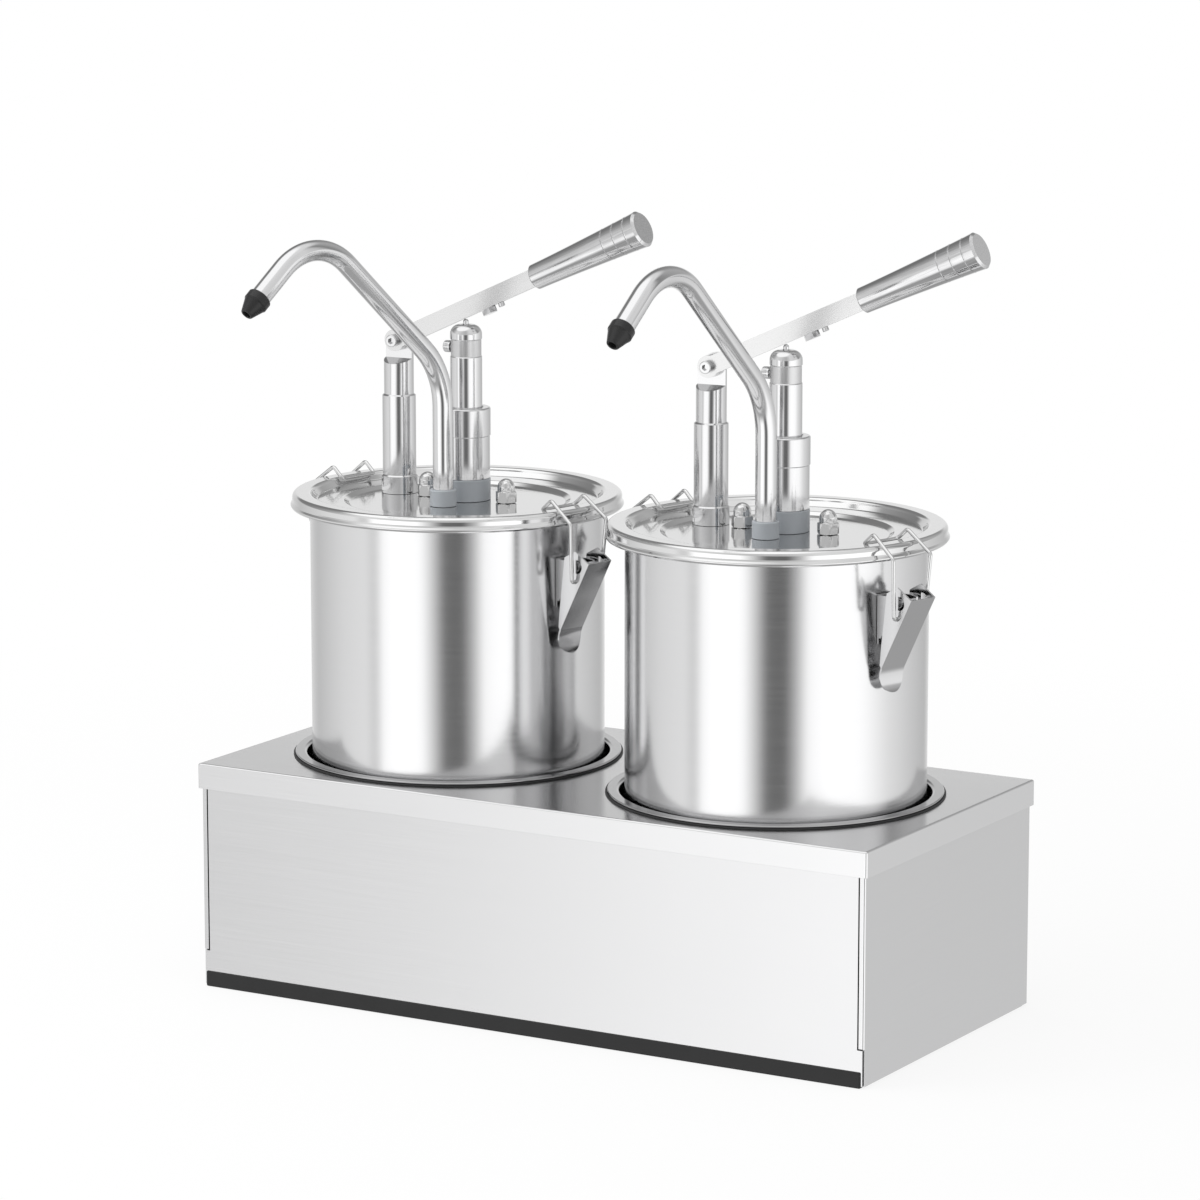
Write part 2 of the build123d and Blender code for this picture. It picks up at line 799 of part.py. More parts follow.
def spout_points():
    """Corner points of the centreline in reach and height, with the two bend radii."""
    up = spout_bend * tan(radians(spout_bend_angle) / 2)
    over = radians(180 - spout_down_angle - spout_bend_angle)
    top = spout_top_bend * tan(over / 2)
    first = (0, spout_rise + up)
    length = up + spout_run + top
    lean = radians(spout_bend_angle)
    second = (length * sin(lean), first[1] + length * cos(lean))
    fall = radians(180 - spout_down_angle)
    tail = top + spout_drop
    third = (second[0] + tail * sin(fall), second[1] + tail * cos(fall))
    return first, second, third


def bend_points(corner, before, after, radius):
    """Start, middle and end of the arc that rounds a corner of the centreline."""
    to_before = Vector(before[0] - corner[0], before[1] - corner[1]).normalized()
    to_after = Vector(after[0] - corner[0], after[1] - corner[1]).normalized()
    half = radians(to_before.get_angle(to_after)) / 2
    back = radius / tan(half)
    bisector = (to_before + to_after).normalized()
    centre = Vector(*corner) + bisector * (radius / sin(half))
    start = Vector(*corner) + to_before * back
    end = Vector(*corner) + to_after * back
    middle = centre - bisector * radius
    return start, middle, end


def spout_line():
    first, second, third = spout_points()
    foot = Vector(0, -spout_depth)
    low = bend_points(first, (0, 0), second, spout_bend)
    high = bend_points(second, first, third, spout_top_bend)
    edges = [
        Line(foot, low[0]),
        ThreePointArc(*low),
        Line(low[2], high[0]),
        ThreePointArc(*high),
        Line(high[2], Vector(*third)),
    ]
    upright = Plane(origin=(0, 0, 0), x_dir=(0, -1, 0), z_dir=(-1, 0, 0))
    return upright * Wire(edges)


def spout_tube():
    path = spout_line()
    start = Plane(origin=path @ 0, x_dir=(1, 0, 0), z_dir=path % 0)
    return sweep(start * (Circle(spout_radius) - Circle(spout_bore)), path=path)


def nozzle():
    """Black moulded tip pushed over the spout's end."""
    path = spout_line()
    tip = Plane(origin=path @ 1, x_dir=(1, 0, 0), z_dir=path % 1)
    back = -nozzle_overlap
    front = back + nozzle_length
    inner = spout_radius + thread_fit
    stop = fit_gap
    edge = 0.8
    profile = outline(
        (inner, back),
        (nozzle_collar - edge, back),
        (nozzle_collar, back + edge),
        (nozzle_collar, back + nozzle_collar_length),
        (nozzle_mouth, front),
        (nozzle_bore, front),
        (nozzle_bore, nozzle_throat),
        (spout_bore - edge, stop),
        (inner, stop),
    )
    return tip * turned_profile(profile)


def spout_frame(side):
    turn = -spout_heading[side] - lid_turn[side]
    return pump_frame(side) * Location((0, spout_y, 0), (0, 0, turn))


# Lever, in a frame at its pivot with X along the bar

def lever_frame(side):
    return pump_frame(side) * Location((post_x, 0, pivot_z), (0, -lever_rest, 0))


def lever_bar():
    """Flat bar with a round nose at the pivot and a spigot inside the grip."""
    low = -bar_height / 2 - 1
    face = Plane(origin=(0, bar_thick / 2, 0), x_dir=(1, 0, 0), z_dir=(0, -1, 0))
    plan = Circle(bar_nose)
    plan += Pos(bar_end / 2, 0) * Rectangle(bar_end, bar_height)
    plan -= Circle(pivot_shank + running_fit)
    bar = extrude(face * plan, bar_thick)
    spigot = Plane(origin=(bar_end, 0, 0), z_dir=(1, 0, 0))
    bar += extrude(spigot * Circle(bar_spigot), bar_spigot_length)
    hole = Plane(origin=(stop_screw_at, 0, low), z_dir=(0, 0, 1))
    bar -= extrude(hole * Circle(stop_screw_shank + thread_fit), 9)
    nub_hole = Plane(origin=(stop_nub_at, 0, low), z_dir=(0, 0, 1))
    return bar - extrude(nub_hole * Circle(stop_nub_radius / 2 + thread_fit), 5.5)


def lever_grip():
    """Turned handle flaring to its end, with three fine grooves and a chamfered face."""
    reach = grip_end - grip_start
    flare = grip_large - grip_small
    edge = 0.8
    bulge = (grip_start + reach * 0.62, grip_small + flare * 0.47)
    rim = (grip_end - grip_chamfer, grip_large)
    edges = [
        Polyline((grip_start, 0), (grip_start, grip_small - edge), (grip_start + edge, grip_small)),
        ThreePointArc((grip_start + edge, grip_small), bulge, rim),
        Polyline(rim, (grip_end, grip_large - grip_chamfer), (grip_end, 0), (grip_start, 0)),
    ]
    grip = revolve(make_face(edges), Axis.X)
    for index in range(groove_count):
        at = grip_end - groove_pitch * (index + 1)
        share = (at - grip_start) / reach
        radius = grip_small + flare * share ** 1.55
        ring = Plane(origin=(at, 0, 0), z_dir=(1, 0, 0))
        cut = Circle(radius + 2) - Circle(radius - groove_depth)
        grip -= extrude(ring * cut, groove_width)
    slot_x = (grip_start + bar_end) / 2
    slot_length = bar_end - grip_start + running_fit
    slot = Pos(slot_x, 0, 0) * Box(slot_length, bar_thick + running_fit, bar_height + running_fit)
    hole = Plane(origin=(grip_start, 0, 0), z_dir=(1, 0, 0))
    hole_length = bar_end - grip_start + bar_spigot_length + fit_gap
    return grip - slot - extrude(hole * Circle(bar_spigot + running_fit), hole_length)


def pivot_bolt():
    """Round-headed socket bolt through the bar into the post's tongue."""
    front = -bar_thick / 2 - seat_gap
    head = cylinder_along_y(pivot_head, 0, 0, front - pivot_head_height, front)
    head = fillet(head.edges().sort_by(Axis.Y)[0], 0.7)
    socket = Plane(origin=(0, front - pivot_head_height, 0), x_dir=(1, 0, 0), z_dir=(0, 1, 0))
    head -= extrude(socket * RegularPolygon(pivot_socket, 6), pivot_head_height / 2)
    return head + cylinder_along_y(pivot_shank, 0, 0, front, post_y + pivot_depth)


def stop_screw():
    """Hexagon screw in the underside of the bar."""
    low = -bar_height / 2
    head_plane = Plane(origin=(stop_screw_at, 0, low - stop_screw_head - seat_gap / 2), z_dir=(0, 0, 1))
    screw = extrude(head_plane * RegularPolygon(stop_screw_hex / 2, 6, major_radius=False), stop_screw_head)
    shank = Plane(origin=(stop_screw_at, 0, low - seat_gap), z_dir=(0, 0, 1))
    return screw + extrude(shank * Circle(stop_screw_shank), 8)


def stop_nub():
    """Small rubber nub beside the screw."""
    low = -bar_height / 2
    nub = Plane(origin=(stop_nub_at, 0, low - stop_nub_height), z_dir=(0, 0, 1))
    body = extrude(nub * Circle(stop_nub_radius), stop_nub_height - seat_gap / 2)
    body = fillet(body.edges().sort_by(Axis.Z)[0], 0.6)
    stem = Plane(origin=(stop_nub_at, 0, low - seat_gap), z_dir=(0, 0, 1))
    return body + extrude(stem * Circle(stop_nub_radius / 2), 4)


# Assembly

def stand_parts():
    return {
        "stand_cover": cover(),
        "stand_front_panel": front_panel(),
        "stand_body_wrap": body_wrap(),
        "stand_floor_pan": floor_pan(),
        "stand_foot_strips": foot_strips(),
        "well_walls": both_wells(well_wall_ring),
        "well_floors": both_wells(well_base),
        "well_gaskets": both_wells(well_gasket),
    }


def side_parts(side):
    in_well = well_frame(side)
    in_pump = pump_frame(side)
    in_lever = lever_frame(side)
    in_spout = spout_frame(side)
    stop = Compound(children=[in_lever * stop_screw(), in_lever * stop_nub()])
    parts = {
        "can": in_well * can(),
        "can_floor": in_well * can_base(),
        "lid": lid(side),
        "lid_seal": in_well * lid_seal(),
        "latch_brackets": latch_brackets(side),
        "pump_sleeve": in_pump * pump_sleeve(),
        "lid_glands": in_pump * lid_glands(),
        "pump_post": in_pump * pump_post(),
        "cap_nuts": in_pump * cap_nuts(),
        "pump_block": in_pump * pump_block(),
        "pump_barrel": in_pump * pump_barrel(),
        "foot_valve": in_pump * foot_valve(),
        "plunger": in_pump * plunger(),
        "piston_seal": in_pump * piston_seal(),
        "cap_screw": in_pump * cap_screw(),
        "return_spring": in_pump * return_spring(),
        "spout_tube": in_spout * spout_tube(),
        "nozzle": in_spout * nozzle(),
        "lever_bar": in_lever * lever_bar(),
        "lever_grip": in_lever * lever_grip(),
        "pivot_bolt": in_lever * pivot_bolt(),
        "stop_screw": stop,
    }
    for which in ("inner", "outer"):
        in_latch = latch_frame(side, which)
        parts[which + "_latch_lever"] = in_latch * latch_lever()
        parts[which + "_latch_bail"] = in_latch * latch_bail()
    return {side + "_" + name: shape for name, shape in parts.items()}


def write_parts():
    os.makedirs("parts", exist_ok=True)
    every = stand_parts()
    for side in sides:
        every.update(side_parts(side))
    for name, shape in every.items():
        export_step(shape, "parts/" + name + ".step")
        print(name, round(shape.volume / 1000, 2), "cm3", len(shape.solids()), "solids")


write_parts()
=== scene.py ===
import json
from math import atan2, cos, degrees, pi, radians, sin, tan

import bmesh
import bpy
from mathutils import Matrix, Vector


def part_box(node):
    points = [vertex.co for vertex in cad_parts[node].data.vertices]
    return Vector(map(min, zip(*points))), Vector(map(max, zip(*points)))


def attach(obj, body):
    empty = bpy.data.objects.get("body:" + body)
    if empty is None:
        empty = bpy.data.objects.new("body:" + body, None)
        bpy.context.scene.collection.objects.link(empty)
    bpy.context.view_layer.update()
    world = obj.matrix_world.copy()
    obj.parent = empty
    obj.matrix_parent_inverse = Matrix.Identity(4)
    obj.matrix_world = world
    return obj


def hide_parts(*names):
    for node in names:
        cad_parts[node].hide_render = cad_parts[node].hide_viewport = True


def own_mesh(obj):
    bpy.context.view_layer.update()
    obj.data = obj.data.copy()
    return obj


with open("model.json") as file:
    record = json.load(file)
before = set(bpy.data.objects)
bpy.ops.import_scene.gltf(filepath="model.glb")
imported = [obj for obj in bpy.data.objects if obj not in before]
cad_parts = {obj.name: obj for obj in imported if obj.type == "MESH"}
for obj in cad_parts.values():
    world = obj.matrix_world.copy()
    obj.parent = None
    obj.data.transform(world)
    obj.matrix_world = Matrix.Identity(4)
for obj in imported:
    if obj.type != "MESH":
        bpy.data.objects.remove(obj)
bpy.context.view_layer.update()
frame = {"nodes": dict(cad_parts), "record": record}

# Stand walls: stainless sheet with its fine grain drawn level. One sheet wraps the two ends and the
# rear, a separate front panel is held between its narrow returns, and a shallow tray lies inside
# along the bottom.


class Flow:
    """A shader node's output that takes part in Python arithmetic."""

    def __init__(self, socket):
        self.socket = socket
        self.tree = socket.id_data

    def node(self, kind, settings, values, output=0):
        return put_node(self.tree, kind, settings, values, output)

    def math(self, operation, *values):
        return put_node(self.tree, "ShaderNodeMath", {"operation": operation}, values)

    def __add__(self, other):
        return self.math("ADD", self, other)

    def __radd__(self, other):
        return self.math("ADD", other, self)

    def __sub__(self, other):
        return self.math("SUBTRACT", self, other)

    def __rsub__(self, other):
        return self.math("SUBTRACT", other, self)

    def __mul__(self, other):
        return self.math("MULTIPLY", self, other)

    def __rmul__(self, other):
        return self.math("MULTIPLY", other, self)

    def __truediv__(self, other):
        return self.math("DIVIDE", self, other)

    def noise(self, scale, detail, roughness=0.5):
        """Cloudy values between 0 and 1 over these coordinates."""
        return self.node("ShaderNodeTexNoise", {},
                         {"Vector": self, "Scale": scale, "Detail": detail, "Roughness": roughness})

    def bump(self, strength, distance):
        """A surface raised where this value is high, by up to a distance in metres."""
        return self.node("ShaderNodeBump", {}, {"Strength": strength, "Distance": distance, "Height": self})

    def blend(self, low, high):
        """The colour between low and high at this value, through a Mix node's colour sockets."""
        share, first, second, mixed = 0, 6, 7, 2
        return self.node("ShaderNodeMix", {"data_type": "RGBA"},
                         {share: self, first: low + (1,), second: high + (1,)}, mixed)


def put_node(tree, kind, settings, values, output=0):
    """Add one node: its settings first, then the values or links of its sockets."""
    made = tree.nodes.new(kind)
    for key, value in settings.items():
        if key == "stops":
            for index, (at, shade) in enumerate(value):
                stop = made.color_ramp.elements[index] if index < 2 else made.color_ramp.elements.new(at)
                stop.position = at
                stop.color = (shade, shade, shade, 1)
        else:
            setattr(made, key, value)
    pairs = values.items() if isinstance(values, dict) else enumerate(values)
    for key, value in pairs:
        if isinstance(value, Flow):
            tree.links.new(value.socket, made.inputs[key])
        else:
            made.inputs[key].default_value = value
    return Flow(made.outputs[output])


def finish_surface(name):
    """A new material with its Principled node and the object's own coordinates."""
    made = bpy.data.materials.new(name)
    made.use_nodes = True
    surface = made.node_tree.nodes["Principled BSDF"]
    place = put_node(made.node_tree, "ShaderNodeTexCoord", {}, {}, "Object")
    return made, surface, place


def feed(surface, **sockets):
    """Set or link sockets of the Principled node, named with _ for a space."""
    for name, value in sockets.items():
        target = surface.inputs[name.replace("_", " ")]
        if isinstance(value, Flow):
            value.tree.links.new(value.socket, target)
        else:
            target.default_value = value


def dimmed(tone, share):
    return tuple(part * share for part in tone)


def brushed_steel(name, grain, tone, rough, depth, uneven=0.05, turn=0.0):
    """Stainless with drawn lines: grain is lines per metre along X, Y and Z, turned about Y."""
    made, surface, place = finish_surface(name)
    line_swing = 0.16
    spacing = tuple(1 / count for count in grain)
    drawn = place.node("ShaderNodeMapping", {"vector_type": "TEXTURE"},
                       {"Vector": place, "Rotation": (0, turn, 0), "Scale": spacing})
    lines = drawn.noise(scale=1.0, detail=4.0, roughness=0.65)
    cloud = place.noise(scale=9.0, detail=3.0)
    feed(surface, Base_Color=lines.blend(dimmed(tone, 0.93), tone), Metallic=1.0,
         Normal=lines.bump(strength=0.35, distance=depth),
         Roughness=rough + (lines - 0.5) * line_swing + (cloud - 0.5) * uneven)
    return made


def dressed(node, material, edge=0.0, fold=0.0):
    """The node's own solid as one merged mesh, with soft shading, a small worn edge and rounder folds."""
    same_spot, same_plane, crease = 0.000002, radians(0.6), radians(34)
    broad_face = 0.00015
    mesh = frame["nodes"][node].data.copy()
    shape = bmesh.new()
    shape.from_mesh(mesh)
    bmesh.ops.remove_doubles(shape, verts=shape.verts, dist=same_spot)
    bmesh.ops.dissolve_limit(shape, angle_limit=same_plane, verts=shape.verts, edges=shape.edges)
    if fold:
        broad = {face for face in shape.faces if face.calc_area() > broad_face}
        folds = [line for line in shape.edges if len(line.link_faces) == 2 and line.is_convex
                 and broad.issuperset(line.link_faces) and line.calc_face_angle(0) > crease]
        bmesh.ops.bevel(shape, geom=folds, offset=fold, segments=4, profile=0.5, affect="EDGES",
                        clamp_overlap=True)
    if edge:
        hard = [line for line in shape.edges if len(line.link_faces) == 2
                and line.calc_face_angle(0) > crease]
        bmesh.ops.bevel(shape, geom=hard, offset=edge, segments=2, profile=0.6, affect="EDGES",
                        clamp_overlap=True)
    for face in shape.faces:
        face.smooth = True
    for line in shape.edges:
        line.smooth = len(line.link_faces) == 2 and line.calc_face_angle(0) < crease
    shape.to_mesh(mesh)
    shape.free()
    mesh.materials.clear()
    mesh.materials.append(material)
    piece = bpy.data.objects.new(node + "_skin", mesh)
    bpy.context.scene.collection.objects.link(piece)
    even = piece.modifiers.new("even_normals", "WEIGHTED_NORMAL")
    even.keep_sharp = True
    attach(piece, node_body[node])
    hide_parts(node)
    return piece


behaviour = frame["record"]["behaviour"]
node_body = {member: body for body, members in behaviour["bodies"].items() for member in members}

wall_steel = brushed_steel("wall_steel", grain=(14, 14, 2600), tone=(0.73, 0.73, 0.735), rough=0.15,
                           depth=0.00003)
dressed("stand_body_wrap", wall_steel)
dressed("stand_front_panel", wall_steel)
dressed("stand_floor_pan", wall_steel)

# Stand cover: folded from one stainless sheet with welded corners, its grain running along the top
# and the two long flanges. It sits down over the walls.

cover_steel = brushed_steel("cover_steel", grain=(14, 2600, 2600), tone=(0.78, 0.78, 0.785), rough=0.18,
                            depth=0.00003)
dressed("stand_cover", cover_steel, edge=0.0003)

# Foot strips: soft black rubber edging, pushed over the bottom edges of the front and rear sheets
# so that the bare sheet doesn't stand on the counter.


def black_rubber(name, shade, rough):
    """Black moulding with a fine grain, a little greyer where dust lies."""
    made, surface, place = finish_surface(name)
    dust_swing = 0.2
    grain = place.noise(scale=900.0, detail=3.0)
    dust = place.noise(scale=60.0, detail=4.0)
    clean = (shade, shade, shade)
    dusty = (shade * 1.8, shade * 1.8, shade * 1.85)
    feed(surface, Base_Color=dust.blend(clean, dusty), Normal=grain.bump(strength=0.25, distance=0.0001),
         Roughness=rough + (dust - 0.5) * dust_swing, Specular_IOR_Level=0.3)
    return made


strip_rubber = black_rubber("strip_rubber", shade=0.012, rough=0.34)
dressed("stand_foot_strips", strip_rubber)

# Wells: two rolled walls with a floor disc welded in hang by a flat ground lip on a thin black
# gasket round each hole.


def turn_at(before, here, after):
    """Unit directions into and out of a corner, and the signed turn between them."""
    first = (here - before).normalized()
    second = (after - here).normalized()
    return first, second, atan2(first.x * second.y - first.y * second.x, first.dot(second))


def rounded(corners, closed):
    """Corner points with a radius each, turned into points and outward directions of a soft outline."""
    straight, turned_back, degrees_a_step, room = 0.0001, 3.0, 12, 0.998
    spots = [Vector(corner[:2]) for corner in corners]
    radii = [corner[2] for corner in corners]
    count = len(spots)
    wanted = []
    for index in range(count):
        turn = turn_at(spots[index - 1], spots[index], spots[(index + 1) % count])[2]
        wanted.append(radii[index] * tan(abs(turn) / 2) if abs(turn) < turned_back else 0.0)
    points, normals = [], []
    for index in range(count):
        here, radius = spots[index], radii[index]
        before = spots[index - 1] if closed or index else None
        after = spots[(index + 1) % count] if closed or index < count - 1 else None
        if before is None or after is None:
            along = (after - here) if before is None else (here - before)
            along.normalize()
            points.append(here)
            normals.append(Vector((along.y, -along.x)))
            continue
        first, second, turn = turn_at(before, here, after)
        if abs(turn) < straight or radius == 0:
            middle = (first + second).normalized()
            points.append(here)
            normals.append(Vector((middle.y, -middle.x)))
            continue
        reach = wanted[index]
        share = min(1.0, room * (here - before).length / (reach + wanted[index - 1]),
                    room * (after - here).length / (reach + wanted[(index + 1) % count]))
        radius *= share
        reach *= share
        side = 1 if turn > 0 else -1
        centre = here - first * reach + Vector((-first.y, first.x)) * radius * side
        steps = max(3, int(abs(degrees(turn)) / degrees_a_step))
        for step in range(steps + 1):
            angle = turn * step / steps
            along = Vector((first.x * cos(angle) - first.y * sin(angle),
                            first.x * sin(angle) + first.y * cos(angle)))
            points.append(centre - Vector((-along.y, along.x)) * radius * side)
            normals.append(Vector((along.y, -along.x)))
    return points, normals


mm = 0.001


def spun(name, corners, material, place, turns=160, closed=False):
    """A turned or drawn piece: its outline in millimetres, counter-clockwise, spun about its own axis."""
    on_axis = 0.000001
    points, directions = rounded(corners, closed)
    verts, normals, rings = [], [], []
    for point, direction in zip(points, directions):
        ring = []
        copies = 1 if point.x < on_axis else turns
        for step in range(copies):
            angle = 2 * pi * step / turns
            ring.append(len(verts))
            verts.append(Vector((point.x * cos(angle), point.x * sin(angle), point.y)) * mm)
            normals.append(Vector((direction.x * cos(angle), direction.x * sin(angle), direction.y)))
        rings.append(ring)
    faces = []
    last = len(rings) if closed else len(rings) - 1
    for index in range(last):
        low, high = rings[index], rings[(index + 1) % len(rings)]
        for step in range(turns):
            after = (step + 1) % turns
            if len(low) == 1:
                faces.append((low[0], high[after], high[step]))
            elif len(high) == 1:
                faces.append((low[step], low[after], high[0]))
            else:
                faces.append((low[step], low[after], high[after], high[step]))
    mesh = bpy.data.meshes.new(name)
    mesh.from_pydata([place @ vert for vert in verts], [], faces)
    mesh.polygons.foreach_set("use_smooth", [True] * len(faces))
    turned = place.to_3x3()
    mesh.normals_split_custom_set_from_vertices([(turned @ normal).normalized() for normal in normals])
    mesh.materials.append(material)
    piece = bpy.data.objects.new(name, mesh)
    bpy.context.scene.collection.objects.link(piece)
    return piece


def joined(name, pieces):
    """Several meshes of one body put into one piece."""
    for other in bpy.context.selected_objects:
        other.select_set(False)
    for piece in pieces:
        piece.select_set(True)
    bpy.context.view_layer.objects.active = pieces[0]
    bpy.ops.object.join()
    pieces[0].name = name
    return pieces[0]


def stands_for(piece, body, *nodes):
    """The piece moves with its body and shows in place of the CAD nodes."""
    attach(piece, body)
    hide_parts(*nodes)


sides = ("left", "right")
well_reach, well_back = 123.5 * mm, 1.5 * mm
well_axis = {"left": Vector((-well_reach, well_back, 0)), "right": Vector((well_reach, well_back, 0))}

gasket_rubber = black_rubber("gasket_rubber", shade=0.02, rough=0.5)
gasket_outline = [(104.5, 155.5, 0.2), (112.8, 155.5, 0.2), (112.8, 156.5, 0.5), (104.5, 156.5, 0.2)]
well_outline = [
    (103.2, 76, 0.1), (104.2, 76, 0.1), (104.2, 156.8, 0.6), (111.6, 156.8, 0.3), (111.6, 158.0, 0.7),
    (103.2, 158.0, 2.4),
]
lip_steel = brushed_steel("lip_steel", grain=(500, 500, 1500), tone=(0.48, 0.48, 0.485), rough=0.13,
                          depth=0.00002)
walls, gaskets = [], []
for side in sides:
    place = Matrix.Translation(well_axis[side])
    walls.append(spun("well_" + side, well_outline, lip_steel, place, closed=True))
    gaskets.append(spun("gasket_" + side, gasket_outline, gasket_rubber, place, closed=True))
stands_for(joined("well_wall_pair", walls), "stand", "well_walls")
stands_for(joined("well_gasket_pair", gaskets), "stand", "well_gaskets")
dressed("well_floors", wall_steel)

# Canisters: rolled stainless walls with a welded floor disc, ground round and round so that light
# stands in upright bands, with a flared neck and a rolled bead that the lid clamps on.

can_outline = [
    (99, 77.3, 0.1), (100, 77.3, 0.3), (100, 325, 3), (102.8, 329.2, 1.5), (108, 329.2, 0.3), (108, 327, 0.2),
    (109, 327, 0.3), (109, 330.2, 0.9), (101.8, 330.2, 2), (99, 325.5, 3),
]
can_steel = brushed_steel("can_steel", grain=(26, 26, 2400), tone=(0.75, 0.75, 0.755), rough=0.17,
                          depth=0.00003, uneven=0.04)
for side in sides:
    place = Matrix.Translation(well_axis[side])
    pot = spun(side + "_can_wall", can_outline, can_steel, place, turns=240, closed=True)
    stands_for(pot, side + "_can", side + "_can")
    dressed(side + "_can_floor", can_steel)

# Lids: pressed from 1.2 mm stainless and mirror polished, with a round rim, a sloping wall, a ledge
# and a flat disc. The rim's skirt reaches down over the canister's bead.


def mirror_steel(name, tone, rough, wear=0.05):
    """Polished stainless with faint wiping marks and soft handling haze."""
    made, surface, place = finish_surface(name)
    haze = place.noise(scale=22.0, detail=5.0, roughness=0.6)
    wiped = place.node("ShaderNodeMapping", {},
                       {"Vector": place, "Scale": (260, 900, 700), "Rotation": (0.3, 0.2, 0.5)})
    marks = wiped.noise(scale=1.0, detail=5.0, roughness=0.7)
    feed(surface, Base_Color=haze.blend(dimmed(tone, 0.96), tone), Metallic=1.0,
         Normal=marks.bump(strength=0.12, distance=0.00001),
         Roughness=rough + (haze - 0.5) * wear + (marks - 0.5) * wear)
    return made


lid_polish = mirror_steel("lid_polish", tone=(0.76, 0.76, 0.76), rough=0.09)
disc_top, rim_top = 328.8, 336.6
lid_outline = [
    (0, 327.6, 0), (73, 327.6, 2), (77, 329.9, 2), (96.1, 329.9, 1), (100.2, 334, 2), (101.2, 335.4, 2),
    (110.8, 335.4, 2), (110.8, 326.9, 0.2), (112.3, 326.6, 0.4), (113.4, 328.2, 1.2), (112.3, 330.0, 0.5),
    (112.0, 331, 1), (112.0, rim_top, 3.2), (99.6, rim_top, 3), (98.2, 334.4, 1.5), (95.5, 331.1, 1.8),
    (77, 331.1, 1.6), (73.4, disc_top, 1.6), (0, disc_top, 0),
]
for side in sides:
    cap = spun(side + "_lid_pressing", lid_outline, lid_polish, Matrix.Translation(well_axis[side]),
               turns=240)
    stands_for(cap, side + "_can", side + "_lid")

# Seals, pump block, barrel, foot valve and return spring: pale silicone and plastic, drawn tube and
# spring wire. The block hangs on its two studs under the lid, and carries the barrel and the valve.


def pale_plastic(name, tone, rough):
    """Moulded plastic or silicone with a fine grain and a slightly uneven tint."""
    made, surface, place = finish_surface(name)
    tint_swing = 0.15
    grain = place.noise(scale=1400.0, detail=2.0)
    tint = place.noise(scale=45.0, detail=4.0)
    feed(surface, Base_Color=tint.blend(dimmed(tone, 0.9), tone),
         Normal=grain.bump(strength=0.2, distance=0.00006),
         Roughness=rough + (tint - 0.5) * tint_swing)
    return made


inner_plastic = pale_plastic("inner_plastic", tone=(0.80, 0.80, 0.77), rough=0.45)
seal_silicone = pale_plastic("seal_silicone", tone=(0.74, 0.74, 0.72), rough=0.6)
tube_polish = mirror_steel("tube_polish", tone=(0.70, 0.70, 0.705), rough=0.12)
stroke_of = {joint["name"]: joint.get("range_m", (0, 0))[1] for joint in behaviour["joints"]}
for side in sides:
    dressed(side + "_lid_seal", seal_silicone)
    dressed(side + "_piston_seal", seal_silicone)
    dressed(side + "_pump_block", inner_plastic)
    dressed(side + "_foot_valve", inner_plastic)
    dressed(side + "_pump_barrel", tube_polish)
    spring = dressed(side + "_return_spring", tube_polish)
    low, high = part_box(side + "_return_spring")
    stroke = stroke_of[side + "_plunger_slide"]
    1 - stroke / (high[2] - low[2])
    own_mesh(spring)

# Latches: a bracket welded to the wall carries a folded channel lever, and a sprung wire bail
# hooks over the lid's rim. All are polished stainless.


def soft_path(corners):
    """Dense points along straight runs joined by arcs: each corner is a place in mm and a bend radius."""
    degrees_a_step = 4
    points = [Vector(corners[0][0])]
    for index in range(1, len(corners) - 1):
        here, radius = Vector(corners[index][0]), corners[index][1]
        to_last = (Vector(corners[index - 1][0]) - here).normalized()
        to_next = (Vector(corners[index + 1][0]) - here).normalized()
        half = to_last.angle(to_next) / 2
        back = radius / tan(half)
        centre = here + (to_last + to_next).normalized() * (radius / sin(half))
        start, end = here + to_last * back - centre, here + to_next * back - centre
        sweep = start.angle(end)
        steps = max(4, int(degrees(sweep) / degrees_a_step))
        for step in range(steps + 1):
            share = step / steps
            arm = (start * sin((1 - share) * sweep) + end * sin(share * sweep)) / sin(sweep)
            points.append(centre + arm)
    points.append(Vector(corners[-1][0]))
    return points


def geometry_tree(name, sizes):
    """A Geometry Nodes tree with a geometry input and output and named number inputs."""
    made = bpy.data.node_groups.new(name, "GeometryNodeTree")
    made.interface.new_socket("Geometry", in_out="INPUT", socket_type="NodeSocketGeometry")
    for label, kind in sizes.items():
        made.interface.new_socket(label, in_out="INPUT", socket_type=kind)
    made.interface.new_socket("Geometry", in_out="OUTPUT", socket_type="NodeSocketGeometry")
    start = made.nodes.new("NodeGroupInput")
    end = made.nodes.new("NodeGroupOutput")
    return made, start, end


def close_tree(made, end, shape, material):
    """Finish a tree: real geometry and its material."""
    real = put_node(made, "GeometryNodeRealizeInstances", {}, {0: shape})
    painted = put_node(made, "GeometryNodeSetMaterial", {}, {"Geometry": real, "Material": material})
    made.links.new(painted.socket, end.inputs[0])


def grown(name, start_mesh, tree, values):
    """Run a tree on a mesh and keep the result as a plain mesh piece."""
    holder = bpy.data.objects.new(name, start_mesh)
    bpy.context.scene.collection.objects.link(holder)
    grow = holder.modifiers.new("grow", "NODES")
    grow.node_group = tree
    for item in tree.interface.items_tree:
        if item.item_type == "SOCKET" and item.in_out == "INPUT" and item.name in values:
            grow[item.identifier] = values[item.name]
    bpy.context.view_layer.update()
    graph = bpy.context.evaluated_depsgraph_get()
    mesh = bpy.data.meshes.new_from_object(holder.evaluated_get(graph))
    holder.modifiers.remove(grow)
    holder.data = mesh
    return holder


